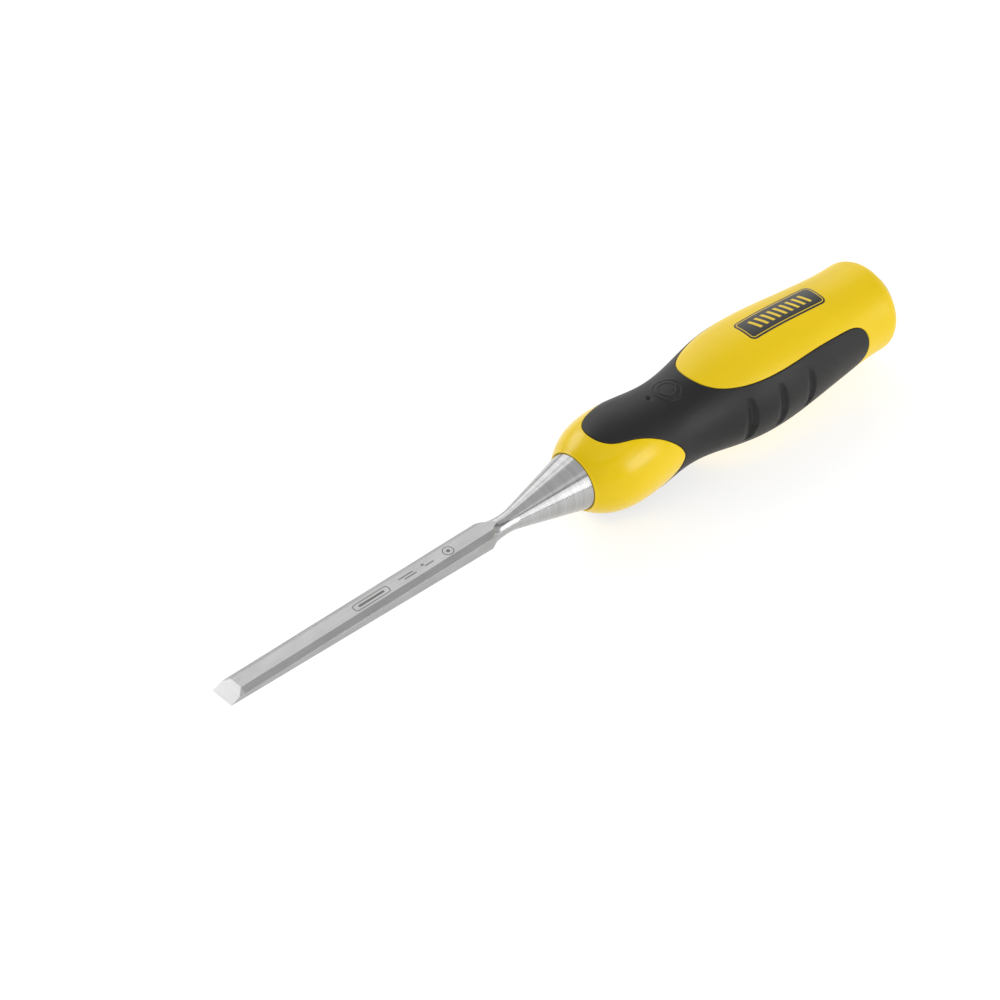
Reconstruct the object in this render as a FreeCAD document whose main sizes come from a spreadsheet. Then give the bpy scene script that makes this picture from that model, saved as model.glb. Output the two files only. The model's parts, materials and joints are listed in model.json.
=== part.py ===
"""Bench chisel: a narrow bevel-edged blade forged in one with its turned bolster and tang, a hard
moulded handle core, a soft grip moulded round the core, and a steel strike cap in the butt.

The blade lies along X with its cutting edge at the -X end and its flat back facing -Z. The bolster
and the handle share an axis that rises slightly towards the butt. The origin is the middle of the
underside of the whole tool's box.
"""
import FreeCAD, Part
import os
import Sketcher
from FreeCAD import Placement, Rotation, Vector

# Every driving dimension, in millimetres or degrees. "along" is measured from the cutting edge,
# along the blade's back or along the handle's axis.
DIMENSIONS = {
    # the tool's frame
    "origin_along": 125.68,
    "origin_below": 15.96,
    "handle_rise_angle": 1.1,
    "handle_pivot_along": 104.0,
    # blade
    "blade_width": 8.0,
    "blade_flat_width": 4.15,
    "blade_back_drop": 2.17,
    "blade_length": 99.2,
    "edge_thickness": 2.08,
    "heel_thickness": 5.14,
    "edge_land": 1.23,
    "heel_land": 4.16,
    "bevel_run": 5.0,
    "bevel_rise": 2.23,
    # shoulder, neck and bolster, all turned
    "shoulder_along": 91.6,
    "shoulder_radius": 4.85,
    "shoulder_lead": 1.6,
    "shoulder_mid_along": 94.9,
    "shoulder_mid_radius": 3.1,
    "neck_along": 101.3,
    "neck_radius": 2.9,
    "neck_lead": 2.4,
    "root_overlap": 1.0,
    "root_relief": 0.6,
    "root_blend": 1.2,
    "cone_along": 103.6,
    "cone_start_radius": 3.1,
    "rim_along": 127.5,
    "rim_radius": 8.9,
    "seat_depth": 1.5,
    # tang
    "tang_side": 5.6,
    "tang_length": 58.0,
    "tang_taper": 1.2,
    # handle: control points of the turned contour
    "contour_0_along": 127.5, "contour_0_radius": 9.3,
    "contour_1_along": 137.8, "contour_1_radius": 18.6,
    "contour_2_along": 164.3, "contour_2_radius": 9.7,
    "contour_3_along": 188.6, "contour_3_radius": 19.3,
    "contour_4_along": 218.1, "contour_4_radius": 16.5,
    "contour_5_along": 238.9, "contour_5_radius": 14.4,
    "contour_6_along": 246.0, "contour_6_radius": 14.9,
    "contour_7_along": 250.0, "contour_7_radius": 14.8,
    "butt_fillet": 4.4,
    "grip_thickness": 2.0,
    # side outlines of the grip: where its front edge and its rear edge run, control points from
    # the top of the handle down to its axis; the lower half mirrors them
    "front_0_along": 128.6, "front_0_height": 22.0,
    "front_1_along": 128.6, "front_1_height": 11.7,
    "front_2_along": 142.7, "front_2_height": 14.5,
    "front_3_along": 155.5, "front_3_height": 7.0,
    "front_4_along": 159.2, "front_4_height": 1.2,
    "rear_0_along": 167.7, "rear_0_height": 22.0,
    "rear_1_along": 167.7, "rear_1_height": 11.3,
    "rear_2_along": 194.5, "rear_2_height": 10.5,
    "rear_3_along": 210.3, "rear_3_height": 10.6,
    "rear_4_along": 224.7, "rear_4_height": 9.0,
    "rear_5_along": 235.5, "rear_5_height": 7.8,
    # strike cap
    "cap_radius": 10.3,
    "cap_depth": 2.0,
    "cap_stand": 1.2,
    "cap_edge": 0.7,
    "cap_stem_radius": 3.2,
    "cap_stem_length": 14.0,
    # how far a cutting outline runs past what it cuts
    "clearance_past": 6.0,
}
FULL_TURN = 360.0
NO_LENGTH = 1e-9
SAME_PLACE = 1e-3
LEAST_CUT = 1.0
CONTOUR_POINTS = 8
FRONT_POINTS = 5
REAR_POINTS = 6

doc = FreeCAD.newDocument("bench_chisel")
sheet = doc.addObject("Spreadsheet::Sheet", "dims")
for row, (alias, number) in enumerate(DIMENSIONS.items(), start=1):
    sheet.set("A%d" % row, alias)
    sheet.set("B%d" % row, str(number))
    sheet.setAlias("B%d" % row, alias)
doc.recompute()


def size(alias):
    """A driving dimension, read from the sheet."""
    return float(sheet.get(alias))


def tool_frame():
    """The blade's frame: X from the cutting edge, Z up from the bolster's axis at the neck."""
    return Placement(Vector(-size("origin_along"), 0, size("origin_below")), Rotation())


def handle_frame():
    """The frame of everything turned: it pitches up about the neck."""
    pivot = Vector(size("handle_pivot_along"), 0, 0)
    rise = Rotation(Vector(0, -1, 0), size("handle_rise_angle"))
    return tool_frame() * Placement(Vector(), rise, pivot)


# ---- sketching ------------------------------------------------------------------------------

def new_body(name, frame):
    """A body whose solid keeps the given placement."""
    made = doc.addObject("PartDesign::Body", name)
    made.Label = name
    made.Placement = frame
    return made


def new_sketch(body, name, role):
    """A sketch on one of the body's own origin planes."""
    made = body.newObject("Sketcher::SketchObject", name)
    support = [part for part in body.Origin.OriginFeatures if part.Role == role]
    made.AttachmentSupport = [(support[0], "")]
    made.MapMode = "FlatFace"
    return made


def worked_out(formula):
    """The number that a formula on the sheet's cells comes to."""
    return float(sheet.evalExpression(formula))


def pin(sketch, shape, point, formulas):
    """Fix one point of a sketched shape at two formulas on the sheet's cells, across and up."""
    kinds = (("DistanceX", -2), ("DistanceY", -1))
    for (kind, axis), formula in zip(kinds, formulas):
        number = worked_out(formula)
        if abs(number) < NO_LENGTH:
            sketch.addConstraint(Sketcher.Constraint("PointOnObject", shape, point, axis))
            continue
        ends = (-1, 1, shape, point) if number > 0 else (shape, point, -1, 1)
        index = sketch.addConstraint(Sketcher.Constraint(kind, *ends, abs(number)))
        name = "%s_%d" % (kind.lower(), index)
        sketch.renameConstraint(index, name)
        signed = formula if number > 0 else "-(%s)" % formula
        sketch.setExpression("Constraints." + name, signed)


def add_spline(sketch, points):
    """A clamped uniform cubic spline whose control points are pinned to the sheet."""
    poles = [Vector(worked_out(across), worked_out(up), 0) for across, up in points]
    spans = len(poles) - 3
    curve = Part.BSplineCurve()
    inner = [1] * (spans - 1)
    curve.buildFromPolesMultsKnots(poles, [4] + inner + [4], range(spans + 1), False, 3)
    spline = sketch.addGeometry(curve, False)
    for index, (pole, formulas) in enumerate(zip(poles, points)):
        mark = sketch.addGeometry(Part.Circle(pole, Vector(0, 0, 1), 1.0), True)
        align = "InternalAlignment:Sketcher::BSplineControlPoint"
        sketch.addConstraint(Sketcher.Constraint(align, mark, 3, spline, index))
        sketch.addConstraint(Sketcher.Constraint("Weight", mark, 1.0))
        pin(sketch, mark, 3, formulas)
    return spline


def draw(sketch, steps):
    """A closed outline: each step is a list of points, two for a line and more for a spline,
    and starts where the step before it ended."""
    shapes = []
    for points in steps:
        if len(points) > 2:
            shapes.append(add_spline(sketch, points))
            continue
        start, end = [Vector(worked_out(across), worked_out(up), 0) for across, up in points]
        shapes.append(sketch.addGeometry(Part.LineSegment(start, end), False))
    for index, shape in enumerate(shapes):
        after = (index + 1) % len(shapes)
        sketch.addConstraint(Sketcher.Constraint("Coincident", shape, 2, shapes[after], 1))
        if len(steps[index]) == 2 and len(steps[index - 1]) == 2:
            pin(sketch, shape, 1, steps[index][0])


def polygon(corners):
    """The straight steps round a list of corners."""
    return [[corner, corners[(index + 1) % len(corners)]] for index, corner in enumerate(corners)]


def along(name, index=None, shift=""):
    """The formula for a named place along the tool."""
    cell = name if index is None else "%s_%d" % (name, index)
    return "dims.%s_along%s" % (cell, shift)


# ---- features -------------------------------------------------------------------------------

def revolve(body, sketch, name):
    """Turn a half outline about the sketch's horizontal axis."""
    made = body.newObject("PartDesign::Revolution", name)
    made.Profile = sketch
    made.ReferenceAxis = (sketch, ["H_Axis"])
    made.Angle = FULL_TURN
    doc.recompute()
    return made


def cut_both_ways(body, sketch, name):
    """Cut an outline right through the body, to both sides of its plane."""
    before = body.Shape.Volume
    made = body.newObject("PartDesign::Pocket", name)
    made.Profile = sketch
    made.Type = 1
    made.Midplane = True
    doc.recompute()
    if body.Shape.Volume > before - LEAST_CUT:
        raise RuntimeError(name + " removed nothing")
    return made


def round_edges(body, name, radius, wanted):
    """Round the edges of the body's last feature that the test picks."""
    base = body.Tip
    picked = ["Edge%d" % number for number, edge in enumerate(base.Shape.Edges, start=1)
              if wanted(edge)]
    if not picked:
        raise RuntimeError(name + " found no edge")
    made = body.newObject("PartDesign::Fillet", name)
    made.Base = (base, picked)
    made.setExpression("Radius", radius)
    doc.recompute()
    return made


def circle_at(place, radius):
    """A test for a full circular edge at a place along the body's X axis."""
    def matches(edge):
        curve = edge.Curve
        return (isinstance(curve, Part.Circle) and abs(curve.Center.x - place) < SAME_PLACE
                and abs(curve.Radius - radius) < SAME_PLACE)
    return matches


# ---- outlines shared by two pieces ----------------------------------------------------------

def contour(inset=""):
    """The handle's turned contour, or the same contour drawn in by a wall."""
    return [(along("contour", index), "dims.contour_%d_radius%s" % (index, inset))
            for index in range(CONTOUR_POINTS)]


def side_outline(edge, count):
    """A grip edge seen from the side, from above the handle, over its axis, to below it."""
    upper = [(along(edge, index), "dims.%s_%d_height" % (edge, index)) for index in range(count)]
    lower = [(across, "-" + up) for across, up in reversed(upper)]
    return upper + lower


def add_tang(body, feature, name):
    """The square tang behind the bolster, as a pad on the blade or a pocket in the core."""
    start = "%s + dims.seat_depth" % along("rim")
    sketch = new_sketch(body, name + "_outline", "YZ_Plane")
    sketch.setExpression("AttachmentOffset.Base.z", start)
    half = "dims.tang_side / 2"
    draw(sketch, polygon([("-(%s)" % half, "-(%s)" % half), (half, "-(%s)" % half),
                          (half, half), ("-(%s)" % half, half)]))
    doc.recompute()
    made = body.newObject(feature, name)
    made.Profile = sketch
    made.setExpression("Length", "dims.tang_length")
    made.setExpression("TaperAngle", "-dims.tang_taper")
    made.Reversed = feature == "PartDesign::Pocket"
    doc.recompute()
    return made


# ---- the blade ------------------------------------------------------------------------------

def section(body, name, place, land, thickness):
    """A six-sided cross-section of the blade: back, two side lands, two bevels and the flat."""
    sketch = new_sketch(body, name, "YZ_Plane")
    sketch.setExpression("AttachmentOffset.Base.z", place)
    edge, flat = "dims.blade_width / 2", "dims.blade_flat_width / 2"
    draw(sketch, polygon([("-" + edge, "0"), (edge, "0"), (edge, land), (flat, thickness),
                          ("-" + flat, thickness), ("-" + edge, land)]))
    return sketch


def blade_bar():
    """The bevel-edged bar, thinner towards its cutting edge, with the cutting bevel ground off."""
    drop = Placement(Vector(0, 0, -size("blade_back_drop")), Rotation())
    body = new_body("blade_bar", tool_frame() * drop)
    edge = section(body, "edge_section", "0", "dims.edge_land", "dims.edge_thickness")
    heel = section(body, "heel_section", "dims.blade_length", "dims.heel_land",
                   "dims.heel_thickness")
    doc.recompute()
    loft = body.newObject("PartDesign::AdditiveLoft", "bar")
    loft.Profile = edge
    loft.Sections = [heel]
    loft.Ruled = True
    doc.recompute()
    ground = new_sketch(body, "cutting_bevel_outline", "XZ_Plane")
    top, ahead = "2 * dims.bevel_rise", "-dims.clearance_past"
    draw(ground, polygon([("0", "0"), ("2 * dims.bevel_run", top), (ahead, top), (ahead, "0")]))
    cut_both_ways(body, ground, "cutting_bevel")
    return body


def shoulder_curve():
    """The shoulder's turned outline, from outside the blade's corners down to the neck."""
    return [(along("shoulder"), "dims.shoulder_radius"),
            (along("shoulder", shift=" + dims.shoulder_lead"), "dims.shoulder_radius"),
            (along("shoulder_mid"), "dims.shoulder_mid_radius"),
            (along("neck", shift=" - dims.neck_lead"), "dims.neck_radius"),
            (along("neck"), "dims.neck_radius")]


def shoulder_envelope():
    """The turned outline that the forged bar is trimmed to at its shoulder."""
    body = new_body("shoulder_envelope", handle_frame())
    sketch = new_sketch(body, "shoulder_outline", "XZ_Plane")
    ahead, outside = "-dims.clearance_past", "dims.blade_width"
    draw(sketch, [[(ahead, "0"), (ahead, outside)], [(ahead, outside), (along("shoulder"), outside)],
                  [(along("shoulder"), outside), (along("shoulder"), "dims.shoulder_radius")],
                  shoulder_curve(), [(along("neck"), "dims.neck_radius"), (along("neck"), "0")],
                  [(along("neck"), "0"), (ahead, "0")]])
    doc.recompute()
    revolve(body, sketch, "shoulder_turning")
    return body


def bolster_and_tang():
    """The neck, the turned cone with its seat in the handle, and the tang behind it."""
    body = new_body("bolster_and_tang", handle_frame())
    sketch = new_sketch(body, "bolster_outline", "XZ_Plane")
    root = "dims.blade_length - dims.root_overlap"
    seat = "%s + dims.seat_depth" % along("rim")
    neck = (along("neck"), "dims.neck_radius")
    draw(sketch, polygon([(root, "0"), (root, "dims.neck_radius - dims.root_relief"),
                          (along("neck", shift=" - dims.root_blend"), "dims.neck_radius"), neck,
                          (along("cone"), "dims.cone_start_radius"),
                          (along("rim"), "dims.rim_radius"), (seat, "dims.rim_radius"),
                          (seat, "0")]))
    doc.recompute()
    revolve(body, sketch, "bolster_turning")
    add_tang(body, "PartDesign::Pad", "tang")
    return body


def make_blade():
    """The forging: the bar trimmed at its shoulder and joined to the bolster and tang."""
    trimmed = doc.addObject("Part::Common", "trimmed_bar")
    trimmed.Base = blade_bar()
    trimmed.Tool = shoulder_envelope()
    forging = doc.addObject("Part::Fuse", "blade")
    forging.Base = trimmed
    forging.Tool = bolster_and_tang()
    forging.Refine = True
    return forging


# ---- the handle -----------------------------------------------------------------------------

def make_grip():
    """The soft sleeve: a turned shell cut to its front and rear side outlines."""
    body = new_body("grip_overmould", handle_frame())
    sketch = new_sketch(body, "shell_outline", "XZ_Plane")
    outer, inner = contour(), contour(" - dims.grip_thickness")
    draw(sketch, [outer, [outer[-1], inner[-1]], inner[::-1], [inner[0], outer[0]]])
    doc.recompute()
    revolve(body, sketch, "shell")
    past = "dims.clearance_past"
    ends = (("front", FRONT_POINTS, along("rim", shift=" - " + past)),
            ("rear", REAR_POINTS, along("contour", CONTOUR_POINTS - 1, " + " + past)))
    for edge, count, limit in ends:
        outline = side_outline(edge, count)
        top, bottom = outline[0], outline[-1]
        trim = new_sketch(body, edge + "_edge_outline", "XZ_Plane")
        draw(trim, [outline, [bottom, (limit, bottom[1])], [(limit, bottom[1]), (limit, top[1])],
                    [(limit, top[1]), top]])
        doc.recompute()
        cut_both_ways(body, trim, edge + "_edge")
    return body


def make_core(grip):
    """The hard core: the turned handle with its bolster seat, tang socket and cap recess, less
    the space that the grip fills."""
    body = new_body("core_blank", handle_frame())
    sketch = new_sketch(body, "core_outline", "XZ_Plane")
    outer = contour()
    end = outer[-1][0]
    seat = "%s + dims.seat_depth" % along("rim")
    floor = "%s - dims.cap_depth" % end
    bottom = "%s - dims.cap_stem_length" % floor
    draw(sketch, [outer] + polygon([outer[-1], (end, "dims.cap_radius"), (floor, "dims.cap_radius"),
                                    (floor, "dims.cap_stem_radius"),
                                    (bottom, "dims.cap_stem_radius"), (bottom, "0"), (seat, "0"),
                                    (seat, "dims.rim_radius"), (along("rim"), "dims.rim_radius"),
                                    outer[0]])[:-1])
    doc.recompute()
    revolve(body, sketch, "core_turning")
    rim = circle_at(size("contour_7_along"), size("contour_7_radius"))
    round_edges(body, "butt_rounding", "dims.butt_fillet", rim)
    before = body.Shape.Volume
    add_tang(body, "PartDesign::Pocket", "tang_socket")
    if body.Shape.Volume > before - LEAST_CUT:
        raise RuntimeError("the tang socket removed nothing")
    core = doc.addObject("Part::Cut", "handle_core")
    core.Base = body
    core.Tool = grip
    return core


def make_cap():
    """The steel disc in the butt, standing slightly proud, with its rounded rim and its stem."""
    body = new_body("strike_cap", handle_frame())
    sketch = new_sketch(body, "cap_outline", "XZ_Plane")
    end = along("contour", CONTOUR_POINTS - 1)
    face = "%s + dims.cap_stand" % end
    floor = "%s - dims.cap_depth" % end
    tip = "%s - dims.cap_stem_length" % floor
    draw(sketch, polygon([(tip, "0"), (tip, "dims.cap_stem_radius"),
                          (floor, "dims.cap_stem_radius"), (floor, "dims.cap_radius"),
                          (face, "dims.cap_radius"), (face, "0")]))
    doc.recompute()
    revolve(body, sketch, "cap_turning")
    place = size("contour_7_along") + size("cap_stand")
    round_edges(body, "cap_rounding", "dims.cap_edge", circle_at(place, size("cap_radius")))
    return body


# ---- building, checking and writing ---------------------------------------------------------

grip = make_grip()
pieces = {"blade": make_blade(), "handle_core": make_core(grip), "grip_overmould": grip,
          "strike_cap": make_cap()}
for name, piece in pieces.items():
    piece.Label = name
doc.recompute()

for item in doc.Objects:
    if "Invalid" in item.State or "Error" in item.State:
        raise RuntimeError("%s did not build: %s" % (item.Label, item.State))
os.makedirs("parts", exist_ok=True)
whole = FreeCAD.BoundBox()
for name, piece in pieces.items():
    shape = piece.Shape
    if shape.isNull() or not shape.isValid() or len(shape.Solids) != 1:
        raise RuntimeError(name + " is not one sound solid")
    shape.exportStep("parts/%s.step" % name)
    whole.add(shape.optimalBoundingBox(True, False))
    print("%-16s %9.1f mm3" % (name, shape.Volume))
print("box X %.2f to %.2f, Y %.2f to %.2f, Z %.2f to %.2f"
      % (whole.XMin, whole.XMax, whole.YMin, whole.YMax, whole.ZMin, whole.ZMax))
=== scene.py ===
"""Bench chisel: a bevel-edged blade with its turned bolster, a hard handle core, a soft grip, a plain
label and a steel strike cap, each a surface worked out on a grid of rings.

Lengths are in metres. "Along" runs from the cutting edge, along the blade's back or along the
handle's axis. "Angle" turns about that axis, from zero on top towards +Y.
"""
import json
import math

import bpy
import numpy as np
from mathutils import Euler, Matrix, Vector


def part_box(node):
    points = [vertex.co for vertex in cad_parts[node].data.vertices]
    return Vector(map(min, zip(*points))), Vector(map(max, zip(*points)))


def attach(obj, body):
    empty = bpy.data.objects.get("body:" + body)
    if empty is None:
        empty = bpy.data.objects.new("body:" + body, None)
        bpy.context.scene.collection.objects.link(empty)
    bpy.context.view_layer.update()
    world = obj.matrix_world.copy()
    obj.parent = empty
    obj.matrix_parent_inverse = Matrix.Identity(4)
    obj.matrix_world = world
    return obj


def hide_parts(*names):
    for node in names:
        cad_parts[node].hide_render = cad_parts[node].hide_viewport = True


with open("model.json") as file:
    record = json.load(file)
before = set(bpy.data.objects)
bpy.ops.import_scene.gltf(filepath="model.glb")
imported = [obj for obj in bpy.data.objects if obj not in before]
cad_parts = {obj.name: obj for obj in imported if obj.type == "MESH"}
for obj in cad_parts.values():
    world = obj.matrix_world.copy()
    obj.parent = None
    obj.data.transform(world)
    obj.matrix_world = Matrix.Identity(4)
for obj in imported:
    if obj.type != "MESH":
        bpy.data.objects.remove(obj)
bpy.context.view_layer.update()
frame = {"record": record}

bl_info = {
    "name": "Bench Chisel",
    "version": (1, 0, 0),
    "blender": (4, 5, 0),
    "location": "3D View > Sidebar > Chisel",
    "description": "Builds a bench chisel piece by piece around its packed frame",
    "category": "Add Mesh",
}

MM = 0.001
TURN = 2 * math.pi
MOUNTS = {mount["name"]: mount for mount in frame["record"]["mounts"]}
EDGE_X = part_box("blade")[0].x
BACK_Z = MOUNTS["blade_back"]["pos_m"][2]
STRIKE_CENTRE = np.array(MOUNTS["strike_face"]["pos_m"])
AXIS = np.array(MOUNTS["strike_face"]["axis"])
AXIS_UP = np.array([-AXIS[2], 0, AXIS[0]])
SIDEWAYS = np.array([0, 1, 0])

# Control points of the turned outlines, (along, radius), and of the grip's edges seen from the
# side, (along, height over the axis), the lower halves of which mirror the upper ones.
SHOULDER = np.array([(91.6, 4.85), (93.2, 4.85), (94.9, 3.1), (98.9, 2.9), (101.3, 2.9)]) * MM
BOLSTER = np.array([(103.6, 3.1), (127.5, 8.9)]) * MM
HANDLE = np.array([(127.5, 9.3), (137.8, 18.6), (164.3, 9.7), (188.6, 19.3), (218.1, 16.5),
                   (238.9, 14.4), (246.0, 14.9), (250.0, 14.8)]) * MM
GRIP_FRONT = np.array([(128.6, 22.0), (128.6, 11.7), (142.7, 14.5), (155.5, 7.0),
                       (159.2, 1.2)]) * MM
GRIP_REAR = np.array([(167.7, 22.0), (167.7, 11.3), (194.5, 10.5), (210.3, 10.6), (224.7, 9.0),
                      (235.5, 7.8)]) * MM

# Finger grooves on each side of the grip: where each starts and ends along the handle, how deep
# it is, all in millimetres, and how far it reaches above and below the side, in degrees.
GROOVES = ((180.9, 186.0, 1.3, 29.0), (193.3, 197.3, 1.1, 27.0), (205.3, 209.4, 1.0, 25.0))

# Play left between the pieces: the cap in its recess, and the grip over the core.
CAP_PLAY = 0.03 * MM
GRIP_PLAY = 0.05 * MM


# ---- sizes and colours that a user can change ----

def length(description, millimetres):
    """A size, given in millimetres and kept in metres."""
    return bpy.props.FloatProperty(description=description, default=millimetres * MM,
                                   precision=4, unit="LENGTH")


def turn(description, degrees):
    """An angle, given in degrees and kept in radians."""
    return bpy.props.FloatProperty(description=description, default=math.radians(degrees),
                                   unit="ROTATION")


def linear(hex_colour):
    """Linear light of an sRGB hex colour."""
    parts = [int(hex_colour[start:start + 2], 16) / 255 for start in (1, 3, 5)]
    return [part / 12.92 if part <= 0.04045 else ((part + 0.055) / 1.055) ** 2.4
            for part in parts]


def colour(description, hex_colour):
    """A colour, given as sRGB hex and kept as linear light."""
    return bpy.props.FloatVectorProperty(description=description, default=linear(hex_colour),
                                         size=3, min=0, max=1, subtype="COLOR")


class ChiselBlade(bpy.types.PropertyGroup):
    """Sizes of the blade, its neck and its tang."""
    width: length("Across the flat back", 8.0)
    flat_width: length("Across the top flat, between the side bevels", 4.15)
    edge_thickness: length("The bar's thickness at the cutting end", 2.08)
    heel_thickness: length("The bar's thickness at the shoulder", 5.14)
    edge_land: length("Height of the square side at the cutting end", 1.23)
    heel_land: length("Height of the square side at the shoulder", 4.16)
    bar_length: length("From the cutting edge to the end of the flats", 99.2)
    bevel_run: length("Length of the cutting bevel along the back", 5.0)
    bevel_rise: length("Height of the cutting bevel at the end of its run", 2.23)
    tang_side: length("Side of the square tang at the bolster", 5.6)
    tang_end: length("Side of the square tang at its end", 3.17)
    tang_length: length("From the bolster's back face", 58.0)
    seat_depth: length("How far the bolster's rim sits in the handle", 1.5)


class ChiselHandle(bpy.types.PropertyGroup):
    """Sizes of the hard core and the soft grip."""
    wall: length("How deep the grip is let into the core", 2.0)
    front_round: length("Rounding of the rim round the bolster", 0.18)
    butt_round: length("Rounding of the butt", 4.9)
    core_edge: length("Rounding of the core along the parting line", 0.22)
    grip_edge: length("Rounding of the grip along the parting line", 0.32)
    gap: length("Width of the groove at the parting line", 0.07)
    proud: length("How far the grip stands over the core", 0.1)
    band: length("Width of the strip beside the parting line", 1.4)
    ring_along: length("Centre of the raised rings on top of the grip", 164.4)
    ring_outer: length("Radius of the outer raised ring", 4.5)
    ring_inner: length("Radius of the inner raised ring", 2.9)
    ring_line: length("Half width of a raised line", 0.32)
    ring_height: length("Height of the raised rings", 0.16)
    gate_along: length("Centre of the moulding gate's dimple", 157.1)
    gate_radius: length("Radius of the moulding gate's dimple", 0.62)
    gate_depth: length("Depth of the moulding gate's dimple", 0.8)


class ChiselCap(bpy.types.PropertyGroup):
    """Sizes of the strike cap."""
    radius: length("Radius of the steel disc", 10.5)
    depth: length("How deep the disc is let into the butt", 2.0)
    stand: length("How far the disc stands out of the butt", 1.2)
    rim: length("Rounding of the disc's rim", 0.35)
    stem_radius: length("Radius of the stem behind the disc", 3.2)
    stem_length: length("Length of the stem behind the disc", 14.0)


class ChiselLabel(bpy.types.PropertyGroup):
    """Sizes of the plain label on top of the handle."""
    along: length("Centre of the label along the handle", 210.8)
    length: length("Along the handle", 31.5)
    width: length("Round the handle", 9.2)
    corner: length("Radius of the label's corners", 1.9)
    thickness: length("How far the label stands over the core", 0.09)


class ChiselColours(bpy.types.PropertyGroup):
    """Colours of the finishes."""
    steel: colour("Ground and turned tool steel", "#AAAAAA")
    plastic: colour("Hard yellow moulding", "#DEBD00")
    rubber: colour("Soft black moulding", "#101010")
    label: colour("Label ground", "#1A1A18")
    etching: colour("Etched marks on the blade", "#747472")
    paper: colour("Studio sheet", "#A8A8A7")


class ChiselStudio(bpy.types.PropertyGroup):
    """Where the camera stands and how long its lens is."""
    azimuth: turn("Turn of the camera about the vertical", -42.7321)
    elevation: turn("Height of the camera over the horizon", 41.0558)
    roll: turn("Turn of the camera about its own view", 0.6898)
    distance: length("From the camera to the point it looks at", 943.4)
    aim: bpy.props.FloatVectorProperty(description="Where the camera looks", size=3,
                                       default=(0.09 * MM, 28.53 * MM, -8.08 * MM),
                                       subtype="TRANSLATION", unit="LENGTH")
    lens: bpy.props.FloatProperty(description="Focal length in millimetres on a 36 mm sensor",
                                  default=115.45)


class ChiselSettings(bpy.types.PropertyGroup):
    """Everything about the chisel that can be changed."""
    blade: bpy.props.PointerProperty(type=ChiselBlade)
    handle: bpy.props.PointerProperty(type=ChiselHandle)
    cap: bpy.props.PointerProperty(type=ChiselCap)
    label: bpy.props.PointerProperty(type=ChiselLabel)
    colours: bpy.props.PointerProperty(type=ChiselColours)
    studio: bpy.props.PointerProperty(type=ChiselStudio)


# ---- curves and surfaces ----

def spline(poles, count):
    """Points along a clamped uniform cubic B-spline: each is the sum of the control points times
    their basis functions, which start as one on a knot span and are widened degree by degree."""
    spans = len(poles) - 3
    knots = np.concatenate([np.zeros(3), np.arange(spans + 1), np.full(3, spans)])
    place = np.linspace(0, spans * (1 - 1e-12), count)[:, None]
    basis = ((knots[:-1] <= place) & (place < knots[1:])).astype(float)
    for degree in (1, 2, 3):
        rise, fall = knots[degree:-1] - knots[:-degree - 1], knots[degree + 1:] - knots[1:-degree]
        up = (place - knots[:-degree - 1]) / np.where(rise > 0, rise, np.inf)
        down = (knots[degree + 1:] - place) / np.where(fall > 0, fall, np.inf)
        basis = up * basis[:, :-1] + down * basis[:, 1:]
    return basis @ poles


HANDLE_LINE = spline(HANDLE, 3000)


def handle_radius(along):
    """Radius of the handle's turned outline."""
    return np.interp(along, HANDLE_LINE[:, 0], HANDLE_LINE[:, 1])


def strike_along():
    """Place of the strike face along the axis."""
    return HANDLE[-1, 0] + bpy.context.scene.chisel.cap.stand


def outward(angle):
    """The direction away from the axis: its upward normal turned towards +Y by the angle."""
    return np.cos(angle)[..., None] * AXIS_UP + np.sin(angle)[..., None] * SIDEWAYS


def on_axis(along, angle, radius):
    """Points about the handle's axis: the axis point at that place, plus the radius outward."""
    shape = np.broadcast_shapes(np.shape(along), np.shape(angle), np.shape(radius))
    along, angle, radius = (np.broadcast_to(part, shape) for part in (along, angle, radius))
    return (STRIKE_CENTRE + (along - strike_along())[..., None] * AXIS
            + radius[..., None] * outward(angle))


def column(*values):
    """Values one under another, one for each ring."""
    return np.array(values)[:, None]


def skin(rings, ends=(), ring_closed=False):
    """Vertices and faces of a surface through rings of points, given in order along it. Each
    ring joins its own ends. A point closes the first ring and another the last, where they
    are given, or the last ring joins the first."""
    rows, columns = rings.shape[:2]
    index = np.arange(rows * columns).reshape(rows, columns)
    if ring_closed:
        index = np.vstack([index, index[:1]])
    after = np.roll(index, -1, axis=1)
    faces = np.stack([index[:-1], index[1:], after[1:], after[:-1]], -1).reshape(-1, 4).tolist()
    for last in range(len(ends)):
        tip, pairs = rows * columns + last, zip(index[-last], after[-last])
        faces += [[tip, b, a] if last else [tip, a, b] for a, b in pairs]
    return np.vstack([rings.reshape(-1, 3), *ends]), faces


def new_object(name, data):
    """An object in the scene, with this name and data."""
    made = bpy.data.objects.new(name, data)
    bpy.context.scene.collection.objects.link(made)
    return made


def new_surface(name, points, faces, materials):
    """An object with a mesh of these points, faces and materials."""
    mesh = bpy.data.meshes.new(name)
    mesh.from_pydata(points.tolist(), [], faces)
    mesh.validate()
    for material in materials:
        mesh.materials.append(material)
    return new_object(name, mesh)


def new_piece(name, points, faces, node, materials, crease=32.0, face_materials=None,
              normals=None):
    """A smooth-shaded piece on the root body, with its edges kept sharp where it turns by more
    than the crease angle. It stands for the CAD node, if it has one. Normals, where they are
    not zero, take the place of the averaged ones."""
    piece = new_surface(name, points, faces, materials)
    if face_materials is not None:
        piece.data.polygons.foreach_set("material_index", face_materials)
    piece.data.shade_smooth()
    piece.data.set_sharp_from_angle(angle=math.radians(crease))
    if normals is not None:
        piece.data.normals_split_custom_set_from_vertices(normals.tolist())
    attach(piece, "root")
    if node:
        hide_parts(node)


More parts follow.
